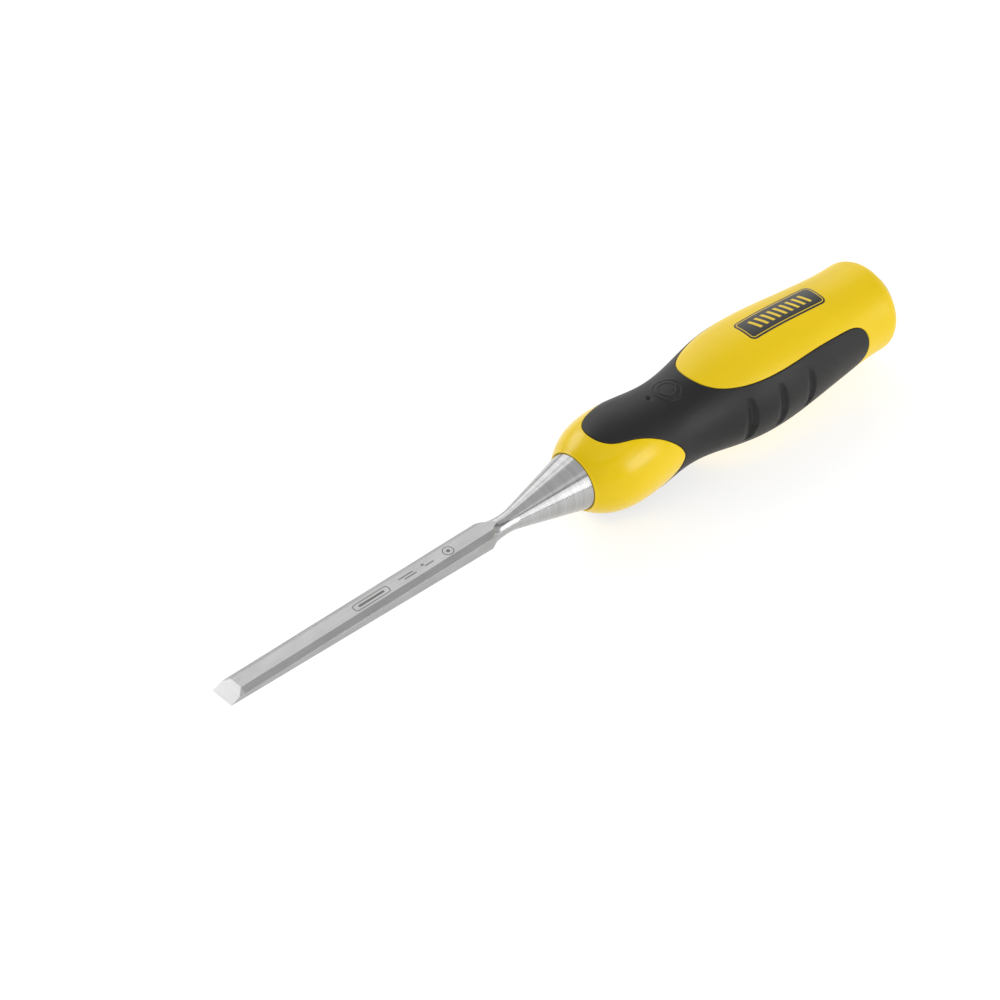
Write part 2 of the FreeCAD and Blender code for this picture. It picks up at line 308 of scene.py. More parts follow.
def round_drop(distance, radius):
    """How far a rounded edge falls, by the distance from its end: a quarter circle."""
    inside = np.clip(radius - distance, 0, radius)
    return radius - np.sqrt(np.maximum(radius ** 2 - inside ** 2, 0))


# ---- the parting lines between core and grip ----

CORE_COLUMNS = 320
WAIST = 168.0 * MM
# powers that crowd the columns at the waist towards the sides, and at the butt away from them
WAIST_CROWDING, BUTT_CROWDING = 2.2, 2.8


def all_round(quarter, turned):
    """Places and angles of a quarter, mirrored to all four quarters of the turn."""
    there, back = slice(0, -1), slice(-1, 0, -1)
    around = np.concatenate([quarter[there], quarter[back]] * 2)
    half = np.concatenate([turned[there], TURN / 2 - turned[back]])
    return around, np.concatenate([half, TURN / 2 + half])


def parting_line(poles):
    """One edge of the grip, round the handle. Its side outline meets the turned surface where
    the angle's cosine is height over radius. A quarter is spread evenly by its length over the
    surface and mirrored round. Returns along, angle and the across direction's two parts."""
    outline = spline(np.vstack([poles, poles[::-1] * (1, -1)]), 6000)
    along, height = outline[outline[:, 1] >= 0].T
    radius = handle_radius(along)
    inside = height < radius
    along, height, radius = along[inside], height[inside], radius[inside]
    along = np.concatenate([along[:1], along])
    angle = np.concatenate([[0.0], np.arccos(height / radius)])
    step = np.hypot(np.diff(along), radius * np.diff(angle))
    run = np.concatenate([[0.0], np.cumsum(step)])
    even = np.linspace(0, run[-1], CORE_COLUMNS // 4 + 1)
    quarter, turned = np.interp(even, run, along), np.interp(even, run, angle)
    turned[-1] = TURN / 4
    around, angles = all_round(quarter, turned)
    forward = np.roll(around, -1) - np.roll(around, 1)
    step = np.roll(angles, -1) - np.roll(angles, 1)
    sideways = ((step + TURN / 2) % TURN - TURN / 2) * handle_radius(around)
    size = np.hypot(forward, sideways)
    return around, angles, sideways / size, -forward / size


def beside(line, distance):
    """The places at a distance from a parting line, towards the butt when positive."""
    around, angles, along_part, angle_part = line
    return (around + distance * along_part,
            angles + distance * angle_part / handle_radius(around))


def between(first, last, count):
    """Places spread evenly between two rings of places, without the two rings themselves."""
    share = np.linspace(0, 1, count + 2)[1:-1, None]
    return [(1 - share) * a + share * b for a, b in zip(first, last)]


def level_ring(along, crowding=1.0, to_sides=False):
    """A ring of places round the handle at one place along it, with equal angles, or crowded
    by a power towards the top and the bottom, or towards the sides."""
    share = np.linspace(0, 1, CORE_COLUMNS // 4 + 1)
    share = 1 - (1 - share) ** crowding if to_sides else share ** crowding
    return all_round(np.full_like(share, along), TURN / 4 * share)


def through_waist(front, rear, before, after):
    """Places from one ring of places to another by way of a ring round the grip's waist. It is
    crowded towards the sides, so that the columns never cross the panels' long edges."""
    waist = level_ring(WAIST, crowding=WAIST_CROWDING, to_sides=True)
    parts = zip(between(front, waist, before), waist, between(waist, rear, after))
    return [np.vstack(part) for part in parts]


class Rings:
    """Rings of points about the handle's axis, gathered in order along a surface."""

    def __init__(self, columns):
        self.columns = columns
        self.rows = []

    def add(self, along, angle, radius, plain=False):
        """One ring or several, from values that spread to rows by columns. Plain ones lie on
        the handle's turned outline."""
        shape = np.broadcast_shapes(np.shape(along), np.shape(angle), np.shape(radius),
                                    (1, self.columns))
        self.rows.append([np.broadcast_to(part, shape)
                          for part in (along, angle, radius, float(plain))])

    def drape(self, places, lift=0.0, plain=False):
        """Rings at places this far over the handle's turned outline."""
        self.add(*places, handle_radius(places[0]) + lift, plain)

    def follow(self, line, side, distances, edge, gap=0.0, lift=0.0):
        """Rings beside a parting line, behind it or with a negative side in front of it, over
        an edge of this rounding. Those past the edge are plain if they aren't lifted."""
        for distance in distances:
            self.drape(beside(line, side * (gap + distance)), lift - round_drop(distance, edge),
                       plain=not lift and distance > edge)

    def gathered(self):
        """All rings' places along, angles, radii and whether they're plain."""
        return [np.concatenate(part) for part in zip(*self.rows)]

    def points(self):
        """All rings as points."""
        return on_axis(*self.gathered()[:3])

    def normals(self):
        """The turned outline's normals on the plain rings, zero elsewhere and on two ends: the
        outward direction less the outline's slope along the axis."""
        along, angle, _, plain = self.gathered()
        slopes = np.gradient(HANDLE_LINE[:, 1], HANDLE_LINE[:, 0])
        slope = np.interp(along, HANDLE_LINE[:, 0], slopes)[..., None]
        normals = (outward(angle) - slope * AXIS) / np.sqrt(1 + slope ** 2) * plain[..., None]
        return np.vstack([normals.reshape(-1, 3), np.zeros((2, 3))])


def strip(edge, width):
    """Distances from a rounded edge to the end of its strip, close together over the edge."""
    bend = np.linspace(0, TURN / 4, 6)
    return np.concatenate([edge * (1 - np.cos(bend)), [1.6 * edge, 2.6 * edge, width]])


def square_radius(angle, side):
    """Radius of a square section, by angle: half the side over the larger of sine and cosine."""
    return side / 2 / np.maximum(np.abs(np.sin(angle)), np.abs(np.cos(angle)))


# ---- nodes ----

NOISE_RANGE = (0.3, 0.7)


def shade(colour_value, factor):
    """A colour made lighter or darker, with its alpha."""
    return [part * factor for part in colour_value] + [1.0]


class Nodes:
    """A tree of nodes, and the sums and mixes made in it."""

    def __init__(self, tree):
        self.tree = tree

    def add(self, kind, inputs=(), **settings):
        """Add a node with its own settings, and set or link its inputs."""
        made = self.tree.nodes.new(kind)
        for name, value in settings.items():
            setattr(made, name, value)
        for key, value in dict(inputs).items():
            if isinstance(value, bpy.types.NodeSocket):
                self.tree.links.new(value, made.inputs[key])
            else:
                made.inputs[key].default_value = value
        return made

    def part(self, vector, axis):
        """A vector's x, y or z."""
        return self.add("ShaderNodeSeparateXYZ", {"Vector": vector}).outputs[axis]

    def maths(self, operation, first, second=0.0):
        """One sum of two values."""
        return self.add("ShaderNodeMath", {0: first, 1: second}, operation=operation).outputs[0]

    def plus(self, first, second):
        """Two values added."""
        return self.maths("ADD", first, second)

    def times(self, first, second):
        """Two values multiplied."""
        return self.maths("MULTIPLY", first, second)

    def spread(self, value, low, high, start=0.0, end=1.0, smooth=False):
        """A value carried from one range to another."""
        kind = "SMOOTHSTEP" if smooth else "LINEAR"
        return self.add("ShaderNodeMapRange", {
            "Value": value, "From Min": start, "From Max": end, "To Min": low, "To Max": high},
            interpolation_type=kind).outputs["Result"]

    def blend(self, share, first, second):
        """Two colours mixed by a share."""
        return self.add("ShaderNodeMix", {"Factor": share, "A": first, "B": second},
                        data_type="RGBA").outputs["Result"]


class Finish(Nodes):
    """A material with a Principled shader, whose constant values sit on its own sockets. Its
    patterns lie in Object coordinates measured from the cutting edge: x along, y across and z
    over the blade's back, or with pitched, about the handle's axis."""

    def __init__(self, name, pitched=False, **sockets):
        self.material = bpy.data.materials.new(name)
        self.material.use_nodes = True
        super().__init__(self.material.node_tree)
        self.shader = self.tree.nodes["Principled BSDF"]
        for key, value in sockets.items():
            self.shader.inputs[key.replace("_", " ")].default_value = value
        pitch, start = 0.0, (-EDGE_X, 0, -BACK_Z)
        if pitched:
            pitch = math.atan2(AXIS[2], AXIS[0])
            turned = Euler((0, pitch, 0)).to_matrix() @ Vector(STRIKE_CENTRE)
            start = (strike_along() - turned.x, -turned.y, -turned.z)
        coordinates = self.add("ShaderNodeTexCoord").outputs["Object"]
        self.place = self.add("ShaderNodeMapping", {
            "Vector": coordinates, "Rotation": (0, pitch, 0), "Location": start}).outputs[0]

    def grain(self, x, y=None, z=None, detail=2.0):
        """Noise with features x, y and z millimetres apart: y as x, and z as y, if not given."""
        y = x if y is None else y
        spacing = (x, y, y if z is None else z)
        scaled = self.add("ShaderNodeMapping", {
            "Vector": self.place, "Scale": [1 / (step * MM) for step in spacing]})
        return self.add("ShaderNodeTexNoise", {
            "Vector": scaled.outputs[0], "Scale": 1.0, "Detail": detail}).outputs["Fac"]

    def vary(self, noise, low, high):
        """A value from low to high over the range that most of a noise lies in."""
        return self.spread(noise, low, high, *NOISE_RANGE)

    def toned(self, share, colour_value, low, high):
        """A colour between a darker and a lighter shade of it."""
        return self.blend(share, shade(colour_value, low), shade(colour_value, high))

    def rounded_box(self, centre, half, corner):
        """Distance outside a rounded rectangle in the x, y plane: the length of how far the
        point passes the inner rectangle in each direction, less the corner radius. With the
        corner as large as both halves it is a circle."""
        reach = self.place
        for operation, other in (("SUBTRACT", (*centre, 0)), ("MULTIPLY", (1, 1, 0)),
                                 ("ABSOLUTE", (0, 0, 0)),
                                 ("SUBTRACT", (half[0] - corner, half[1] - corner, 0)),
                                 ("MAXIMUM", (0, 0, 0))):
            reach = self.add("ShaderNodeVectorMath", {0: reach, 1: other},
                             operation=operation).outputs[0]
        reach = self.add("ShaderNodeVectorMath", {0: reach}, operation="LENGTH")
        return self.maths("SUBTRACT", reach.outputs["Value"], corner)

    def frame(self, centre, half, corner, line):
        """Distance outside a rounded rectangle's outline, drawn this far to both sides."""
        edge = self.maths("ABSOLUTE", self.rounded_box(centre, half, corner))
        return self.maths("SUBTRACT", edge, line)

    def within(self, distance, soft):
        """One where a distance is below zero, falling to nothing over a soft edge."""
        return self.spread(distance, 1.0, 0.0, -soft, soft)

    def done(self, base, rough=None, *bumps):
        """The material, with its colour, its roughness if it varies, and bumps one over
        another, each a height, a strength and a depth in millimetres."""
        self.tree.links.new(base, self.shader.inputs["Base Color"])
        if rough is not None:
            self.tree.links.new(rough, self.shader.inputs["Roughness"])
        normal = {}
        for height, strength, depth in bumps:
            bump = self.add("ShaderNodeBump", {"Height": height, "Strength": strength,
                                               "Distance": depth * MM, **normal})
            normal = {"Normal": bump.outputs["Normal"]}
        for socket in normal.values():
            self.tree.links.new(socket, self.shader.inputs["Normal"])
        return self.material


# ---- finishes ----

# Etched shapes on the top flat, in millimetres: centre along and across, half length, half
# width and corner radius. The frames are etched along their outlines, the bars all over.
ETCHED_FRAMES = ((52.2, 0.0, 6.15, 1.25, 0.9), (80.1, 0.0, 1.6, 1.6, 1.59))
ETCHED_BARS = ((52.2, 0.0, 4.6, 0.42, 0.4), (65.0, 0.55, 2.6, 0.2, 0.19),
               (66.0, -0.45, 2.2, 0.2, 0.19), (71.1, 0.6, 0.5, 0.3, 0.29),
               (73.0, -0.25, 1.6, 0.2, 0.19), (80.1, 0.0, 0.6, 0.6, 0.59))
SHEET_GLOW = 0.69


def etched_marks(finish):
    """Where the top flat is etched: a plain rounded frame with a bar in it, two short lines, a
    size line and a plain ring. All are plain shapes, with no lettering."""
    line, soft = 0.15 * MM, 0.06 * MM
    marks = []
    for sizes in ETCHED_FRAMES + ETCHED_BARS:
        x, y, half_long, half_wide, corner = (size * MM for size in sizes)
        shape = ((x, y), (half_long, half_wide), corner)
        marks.append(finish.frame(*shape, line) if sizes in ETCHED_FRAMES
                     else finish.rounded_box(*shape))
    nearest = marks[0]
    for mark in marks[1:]:
        nearest = finish.maths("MINIMUM", nearest, mark)
    on_top = finish.spread(finish.part(finish.place, "Z"), 0.0, 1.0, 1.5 * MM, 1.9 * MM)
    return finish.times(finish.within(nearest, soft), on_top)


def ground_steel(colours):
    """Tool steel ground along the blade: a satin sheen drawn out in fine lengthwise scratches,
    slightly uneven in tone, with dull grey etched marks on the top flat. Scratches are drawn
    0.3 mm apart, coarser than the real grit, so that they show."""
    finish = Finish("ground_tool_steel", Metallic=1.0, Roughness=0.3)
    scratch = finish.grain(25, 0.3, detail=4)
    tone = finish.plus(finish.vary(scratch, -0.5, 0.5), finish.vary(finish.grain(9, 4), -0.6, 0.6))
    steel = finish.toned(finish.spread(tone, 0.0, 1.0, -1.0, 1.0), colours.steel, 0.9, 1.08)
    marks = etched_marks(finish)
    rough = finish.plus(finish.vary(scratch, 0.24, 0.38), finish.times(marks, 0.3))
    return finish.done(finish.blend(marks, steel, shade(colours.etching, 1.0)), rough,
                       (scratch, 0.35, 0.004))


def honed_steel(colours):
    """The cutting bevel, ground across on a fine wheel: flatter than the rest, with faint lines
    across the blade. Its steel is painted lighter than the rest, a painted reflection of a bright
    light."""
    finish = Finish("honed_bevel_steel", Metallic=1.0, Roughness=0.22)
    lines = finish.grain(0.25, 12, 0.25, detail=3)
    # painted reflection: the bevel's steel is 1.25 to 1.4 times lighter than the steel colour
    return finish.done(finish.toned(lines, colours.steel, 1.25, 1.4),
                       finish.vary(lines, 0.2, 0.3), (lines, 0.25, 0.003))


def turned_steel(name, colours, spacing, rough_low, rough_high, depth):
    """Steel turned in a lathe: rings round the axis, this many millimetres apart, that draw
    highlights out along it, stronger in some stretches than in others, over much finer lines. The
    rings are drawn coarser than the tool's feed, so that they show. The rings are also painted into
    the colour as lighter bands, painted glints on the turning marks. The whole is painted lighter
    than the ground steel, as painted reflection."""
    finish = Finish(name, pitched=True, Metallic=1.0, Roughness=rough_low)
    along, uneven = finish.part(finish.place, "X"), 2.5
    turns = finish.plus(finish.times(along, TURN / (spacing * MM)),
                        finish.times(finish.grain(1.1, 90), uneven))
    wave = finish.spread(finish.maths("SINE", turns), 0.0, 1.0, -1.0, 1.0)
    strength = finish.spread(finish.grain(2.5, 90), 0.2, 1.0, 0.35, 0.6)
    fine = finish.grain(0.12, 40, detail=4)
    rings = finish.plus(finish.times(wave, strength), finish.times(fine, 0.5))
    # painted glints and reflection: 0.95 to 1.3 times the steel colour, lighter along the turning
    # rings and lighter overall than the ground steel
    base = finish.toned(finish.spread(rings, 0, 1, 0.2, 1.2), colours.steel, 0.95, 1.3)
    rough = finish.plus(finish.vary(fine, rough_low, rough_high),
                        finish.vary(finish.grain(3, 2), -0.02, 0.03))
    return finish.done(base, rough, (rings, 0.5, depth))


def moulded_plastic(colours):
    """Hard yellow moulding, glossy on the front bulb and satin on the long top panel, slightly
    uneven in tone, with a faint ripple from the mould."""
    finish = Finish("moulded_yellow_plastic", pitched=True, Metallic=0.0, Roughness=0.25,
                    IOR=1.48, Specular_IOR_Level=0.3)
    ripple = finish.grain(1.6, detail=3)
    base = finish.toned(finish.vary(finish.grain(18, 12), 0, 1), colours.plastic, 0.97, 1.03)
    satin = finish.spread(finish.part(finish.place, "X"), 0.2, 0.38, 158 * MM, 172 * MM,
                          smooth=True)
    rough = finish.plus(satin, finish.vary(ripple, -0.03, 0.03))
    return finish.done(base, rough, (ripple, 0.3, 0.01))


def soft_rubber(colours, handle):
    """Thermoplastic rubber with a fine spark-eroded texture: near black and satin. The texture
    is drawn 0.35 mm apart so that it shows."""
    finish = Finish("soft_black_rubber", pitched=True, Metallic=0.0, Roughness=0.6, IOR=1.5,
                    Specular_IOR_Level=0.33)
    texture, handled = finish.grain(0.35), finish.grain(14, 9, detail=3)
    base = finish.toned(finish.vary(handled, 0, 1), colours.rubber, 0.9, 1.15)
    rough = finish.plus(finish.vary(handled, 0.46, 0.56), finish.vary(texture, -0.04, 0.04))
    # the two plain raised rings on top, crisper than the mesh under them
    centre, soft = (handle.ring_along, 0.0), 0.1 * MM
    rings = [finish.within(finish.frame(centre, (radius, radius), radius, handle.ring_line), soft)
             for radius in (handle.ring_outer, handle.ring_inner)]
    on_top = finish.spread(finish.part(finish.place, "Z"), 0.0, 1.0, 8 * MM, 9 * MM)
    raised = finish.times(finish.maths("MAXIMUM", *rings), on_top)
    return finish.done(base, rough, (texture, 0.4, 0.02), (raised, 1.0, 0.15))


def printed_label(colours, label):
    """A satin black label with a thin yellow line inside its edge and a row of plain slanted
    bars, and a faint print grain."""
    finish = Finish("printed_label", pitched=True, Metallic=0.0, Roughness=0.35, IOR=1.5)
    centre, soft = (label.along, 0.0), 0.05 * MM
    inset, line = 0.75 * MM, 0.14 * MM
    half = (label.length / 2 - inset, label.width / 2 - inset)
    keyline = finish.within(finish.frame(centre, half, label.corner - inset, line), soft)
    apart, half_bar, slant, row = 2.6 * MM, 0.55 * MM, 0.35, (11.6 * MM, 2.1 * MM)
    leaning = finish.plus(finish.maths("SUBTRACT", finish.part(finish.place, "X"), label.along),
                          finish.times(finish.part(finish.place, "Y"), slant))
    from_bar = finish.maths("SUBTRACT", finish.maths("PINGPONG", leaning, apart / 2), half_bar)
    in_row = finish.within(finish.rounded_box(centre, row, 0.1 * MM), soft)
    printed = finish.maths("MAXIMUM", keyline, finish.times(finish.within(from_bar, soft), in_row))
    speck = finish.grain(0.4)
    base = finish.blend(printed, finish.toned(speck, colours.label, 0.85, 1.2),
                        shade(colours.plastic, 0.92))
    return finish.done(base, finish.vary(speck, 0.3, 0.42), (printed, 0.3, 0.02))


def studio_paper(colours):
    """White sheet, faintly mottled, that glows as a product table lit from below does, so that
    shadows on it are pale."""
    finish = Finish("white_studio_sheet", Metallic=0.0, Roughness=0.9, IOR=1.3,
                    Emission_Color=(1, 1, 1, 1), Emission_Strength=SHEET_GLOW)
    return finish.done(finish.toned(finish.grain(60), colours.paper, 0.99, 1.0))


# ---- the blade ----

SIDE_STEPS = {"flat": 24, "bevel": 20, "land": 20, "back": 48}
GROUND, HONED, TURNED = range(3)  # the blade's materials, by their places on it


def bevel_meets(sizes, at_edge, at_heel):
    """Where the cutting bevel's plane meets a height that grows evenly along the bar."""
    return at_edge / (sizes.bevel_rise / sizes.bevel_run - (at_heel - at_edge) / sizes.bar_length)


def bar_section(sizes, along):
    """The bar's ground section at each place: its thickness, the height of its full land, its
    height under the cutting bevel's plane, that of its square sides, and its half width at
    the top."""
    share = along / sizes.bar_length
    thick = sizes.edge_thickness + share * (sizes.heel_thickness - sizes.edge_thickness)
    land = sizes.edge_land + share * (sizes.heel_land - sizes.edge_land)
    height = np.minimum(thick, along * sizes.bevel_rise / sizes.bevel_run)
    # a sliver always stays above the sides, and leans in, so that the corners never meet
    side = np.minimum(land, height * 0.985)
    lean = (sizes.width - sizes.flat_width) / 2 / (thick - land)
    top = sizes.width / 2 - np.clip(height - land, 0, None) * lean - (height - side) * 0.02
    return thick, land, height, side, top


def bar_outline(sizes, height, side, top):
    """Points round the ground section, one row for each place: the six sides in turn, each
    divided closer towards its corners, from the middle of the top towards +Y."""
    half, zero = np.full_like(height, sizes.width / 2), np.zeros_like(height)
    corners = np.stack([np.stack(pair, -1) for pair in (
        (-top, height), (top, height), (half, side), (half, zero), (-half, zero),
        (-half, side))], 1)
    steps = [SIDE_STEPS[name] for name in ("flat", "bevel", "land", "back", "land", "bevel")]
    rows = []
    for index, count in enumerate(steps):
        share = (1 - np.cos(np.arange(count) / count * TURN / 2))[:, None] / 2
        start, end = corners[:, index, None], corners[:, (index + 1) % 6, None]
        rows.append(start + (end - start) * share)
    return np.roll(np.concatenate(rows, 1), -SIDE_STEPS["flat"] // 2, axis=1)


def turned_blade_radius(along):
    """The blade's turned outline: clear of the bar, then the shoulder's curve, the neck and the
    straight cone of the bolster."""
    line = np.vstack([[(0, 12 * MM), (SHOULDER[0, 0] - 0.1 * MM, 12 * MM)],
                      spline(SHOULDER, 200), BOLSTER])
    return np.interp(along, line[:, 0], line[:, 1])


def axis_height(along):
    """Height of the handle's axis over the blade's back."""
    return STRIKE_CENTRE[2] + (along - strike_along()) * AXIS[2] / AXIS[0] - BACK_Z


def blade_rings(sizes):
    """Rings of the ground bar and its turned shoulder, where the turning shows, the rings'
    places and the cutting bevel's end. Each point lies on a line from the section's centre;
    one over its distance is the high-power mean of one over the distances to the ground faces
    and the turned surface, which softens every corner a little."""
    start, stop = SHOULDER[0, 0], SHOULDER[-1, 0]
    crest = bevel_meets(sizes, sizes.edge_thickness, sizes.heel_thickness)
    corner_land = bevel_meets(sizes, sizes.edge_land, sizes.heel_land)
    along = np.sort(np.concatenate([
        np.array([0.008, 0.3, 1.2, 2.2]) * MM,
        corner_land + np.array([-0.1, 0, 0.1]) * MM,
        np.linspace(corner_land + 0.5 * MM, crest - 0.4 * MM, 4),
        crest + np.array([-0.03, 0, 0.03]) * MM,
        np.linspace(crest + 1 * MM, start, 18)[:-1],
        np.arange(start, stop, 0.1 * MM)]))
    thick, land, height, side, top = bar_section(sizes, along)
    outline = bar_outline(sizes, height, side, top)
    shoulder = np.clip((along - start) / (sizes.bar_length - start), 0, 1)
    centre = height / 2 + shoulder * (axis_height(along) - height / 2)
    away = outline - np.stack([np.zeros_like(centre), centre], -1)[:, None]
    reach = np.linalg.norm(away, axis=-1)
    across, up = (away / reach[..., None]).transpose(2, 0, 1)
    # distance from the centre to each face's plane, along the face's outward normal
    half = sizes.width / 2
    lean = np.arctan2(half - sizes.flat_width / 2, thick - land)
    bevel_up, bevel_out = np.sin(lean), np.cos(lean)
    bevel_gap = half * bevel_out + (land - centre) * bevel_up
    # past the flats' end the back's plane falls away, so that the neck comes out round
    lead, steepness = 0.6 * MM, 2
    beyond = 1 + np.clip((along - sizes.bar_length + lead) / MM, 0, None) ** 2 * steepness
    faces = [up / (height - centre)[:, None], -up / (centre * beyond)[:, None],
             np.abs(across) / half,
             (np.abs(across) * bevel_out[:, None] + up * bevel_up[:, None])
             / bevel_gap[:, None]]
    lift = (centre - axis_height(along))[:, None]
    radius = turned_blade_radius(along)[:, None]
    round_reach = -lift * up + np.sqrt(np.maximum(radius ** 2 - lift ** 2 + (lift * up) ** 2, 0))
    turned = 1 / round_reach
    ground = np.maximum.reduce(faces)
    largest, sharpness = np.maximum(ground, turned), 200.0
    mean = sum(np.clip(face / largest, 0, None) ** sharpness for face in faces + [turned])
    distance = 1 / (largest * mean ** (1 / sharpness))
    points = np.stack([np.broadcast_to(along[:, None], across.shape), across * distance,
                       centre[:, None] + up * distance], -1)
    return points + (EDGE_X, 0, BACK_Z), turned > ground, along, crest


def bolster_rings(sizes, columns_from):
    """Rings of the neck's end, the cone, its rim and the square tang, about the handle's axis,
    in columns that carry on from the last ring of the bar."""
    last = columns_from - on_axis(SHOULDER[-1, 0], 0.0, 0.0)
    angle = np.arctan2(last @ SIDEWAYS, last @ AXIS_UP) % TURN
    rim_along, rim = BOLSTER[1]
    seat, play, bevel = rim_along + sizes.seat_depth, 0.02 * MM, 0.1 * MM
    end = seat + sizes.tang_length
    rings = Rings(len(angle))
    cone = np.linspace(SHOULDER[-1, 0] + 0.5 * MM, rim_along - 0.25 * MM, 26)[:, None]
    rings.add(cone, angle, turned_blade_radius(cone))
    rings.add(column(rim_along - bevel, rim_along), angle, rim - play)
    rings.add(column(seat - bevel, seat), angle, column(rim - play, rim - play - bevel))
    rings.add(seat, angle, square_radius(angle, sizes.tang_side))
    rings.add(end, angle, square_radius(angle, sizes.tang_end))
    return rings.points(), on_axis(end, 0.0, 0.0)


class CHISEL_OT_add_blade(bpy.types.Operator):
    """Forge the blade, bolster and tang as one piece, ground and turned"""
    bl_idname = "chisel.add_blade"
    bl_label = "Blade"

    def execute(self, context):
        settings = context.scene.chisel
        bar, is_turned, along, crest = blade_rings(settings.blade)
        bolster, tang_end = bolster_rings(settings.blade, bar[-1])
        tip = np.array([EDGE_X, 0, BACK_Z])
        rings = np.concatenate([bar, bolster])
        points, faces = skin(rings, (tip, tang_end))
        columns = rings.shape[1]
        middle = (along[:-1] + along[1:]) / 2
        quads = np.full((len(rings) - 1, columns), TURNED)
        showing = is_turned[:-1] & is_turned[1:] | (middle > settings.blade.bar_length)[:, None]
        quads[:len(middle)] = np.where(showing, TURNED, GROUND)
        on_top = SIDE_STEPS["flat"] // 2 + SIDE_STEPS["bevel"] + SIDE_STEPS["land"]
        top = (np.arange(columns) < on_top) | (np.arange(columns) >= columns - on_top)
        quads[:len(middle)][(middle < crest)[:, None] & top] = HONED
        # the square sides below the cutting bevel are ground, not honed
        upright = np.abs(np.arange(columns) + 0.5 - columns / 2)
        side = (upright > SIDE_STEPS["back"] / 2) & (upright < columns / 2 - on_top
                                                     + SIDE_STEPS["land"])
        quads[:len(middle)][:, side] = GROUND
        index = np.concatenate([quads.ravel(), np.full(columns, GROUND), np.full(columns, TURNED)])
        colours = settings.colours
        materials = [ground_steel(colours), honed_steel(colours),
                     turned_steel("turned_bolster_steel", colours, spacing=0.42, rough_low=0.14,
                                  rough_high=0.2, depth=0.004)]
        new_piece("blade_forging", points, faces, "blade", materials,
                  crease=14.0, face_materials=index.astype(np.int32))
        return {"FINISHED"}


# ---- the handle core ----

def core_rings(settings):
    """Rings of the core: the tang's socket, the bolster's seat, the front rim, the bulb up to the
    grip's front edge, the recess that holds the grip, the panels behind it, the rounded butt
    and the cap's recess. The two ends and the turned outline's normals come with them."""
    blade, handle, cap = settings.blade, settings.handle, settings.cap
    start, end = HANDLE[0, 0], HANDLE[-1, 0]
    seat, rim = start + blade.seat_depth, BOLSTER[1, 1]
    tang_end, floor = seat + blade.tang_length, end - cap.depth
    stem_end = floor - cap.stem_length
    angle = level_ring(start)[1]
    rings = Rings(CORE_COLUMNS)
    rings.add(tang_end, angle, square_radius(angle, blade.tang_end))
    rings.add(seat, angle, square_radius(angle, blade.tang_side))
    rings.add(column(seat, start + 0.12 * MM), angle, rim + 0.05 * MM)
    rings.add(start, angle, rim + 0.14 * MM)
    bend, edge = np.linspace(0, TURN / 4, 6)[:, None], handle.front_round
    rings.add(start + edge * (1 - np.cos(bend)), angle,
              handle_radius(start + edge) - edge * (1 - np.sin(bend)))
    front, rear = parting_line(GRIP_FRONT), parting_line(GRIP_REAR)
    before, behind = beside(front, 0.0), beside(rear, 0.0)
    distances = strip(handle.core_edge, handle.band)
    rings.drape(between(level_ring(start + edge), beside(front, -handle.band), 30), plain=True)
    rings.follow(front, -1, distances[::-1], handle.core_edge)
    for places in (before, through_waist(before, behind, 12, 14), behind):
        rings.drape(places, -handle.wall)
    rings.follow(rear, 1, distances, handle.core_edge)
    # crowded, so that the columns lead away from the panels' long edges and never cross them
    fillet = handle.butt_round
    butt = level_ring(end - fillet, crowding=BUTT_CROWDING)
    rings.drape(between(beside(rear, handle.band), butt, 64), plain=True)
    # the rounding ends where it meets the cap's recess
    drop = handle_radius(end) - cap.radius - 0.12 * MM
    bend = np.linspace(0, math.acos(1 - drop / fillet), 14)[:, None]
    along = end - fillet * (1 - np.sin(bend))
    rings.add(along, butt[1], handle_radius(along) - fillet * (1 - np.cos(bend)))
    rings.add(column(end - 0.1 * MM, floor), butt[1], cap.radius)
    rings.add(column(floor, stem_end), butt[1], cap.stem_radius)
    return rings.points(), on_axis(np.array([tang_end, stem_end]), 0.0, 0.0), rings.normals()


class CHISEL_OT_add_core(bpy.types.Operator):
    """Mould the hard yellow core, with its recess for the grip"""
    bl_idname = "chisel.add_core"
    bl_label = "Handle core"

    def execute(self, context):
        settings = context.scene.chisel
        rings, ends, normals = core_rings(settings)
        points, faces = skin(rings, ends)
        new_piece("handle_core_moulding", points, faces, "handle_core",
                  [moulded_plastic(settings.colours)], crease=50.0, normals=normals)
        return {"FINISHED"}


# ---- the grip ----

def groove_depth(along, angle):
    """Depth of the finger grooves. Each is a crescent on the handle's side, deepest near its
    rear wall: the sine of a power of the share across it, faded out and narrowed towards its
    two ends, which lean forward."""
    lean = angle % (TURN / 2) - TURN / 4
    depth = np.zeros_like(along)
    narrowest, forward, rearward, fade = 0.35, 0.35 * MM, 2.2, 0.7
    for start, end, deep, reach in GROOVES:
        tip = np.clip(1 - (lean / math.radians(reach)) ** 2, 0, 1)
        middle, half = (start + end) / 2 * MM, (end - start) / 2 * MM
        bulge = half * (narrowest + (1 - narrowest) * np.sqrt(tip))
        share = np.clip((along - middle + bulge + forward * (1 - tip)) / (2 * bulge), 0, 1)
        depth += deep * MM * tip ** fade * np.sin(math.pi * share ** rearward)
    return depth


def raised_marks(handle, along, angle):
    """Height of the two plain raised rings on top of the grip, less the dimple of the moulding
    gate in front of them. A raised line is a bell curve of the distance from its circle."""
    sideways = (angle + TURN / 2) % TURN - TURN / 2
    across = sideways * handle_radius(along)
    from_ring = np.hypot(along - handle.ring_along, across)
    height = sum(handle.ring_height * np.exp(-((from_ring - radius) / handle.ring_line) ** 2)
                 for radius in (handle.ring_outer, handle.ring_inner))
    from_gate = np.hypot(along - handle.gate_along, across)
    return height - handle.gate_depth * np.exp(-(from_gate / handle.gate_radius) ** 4)


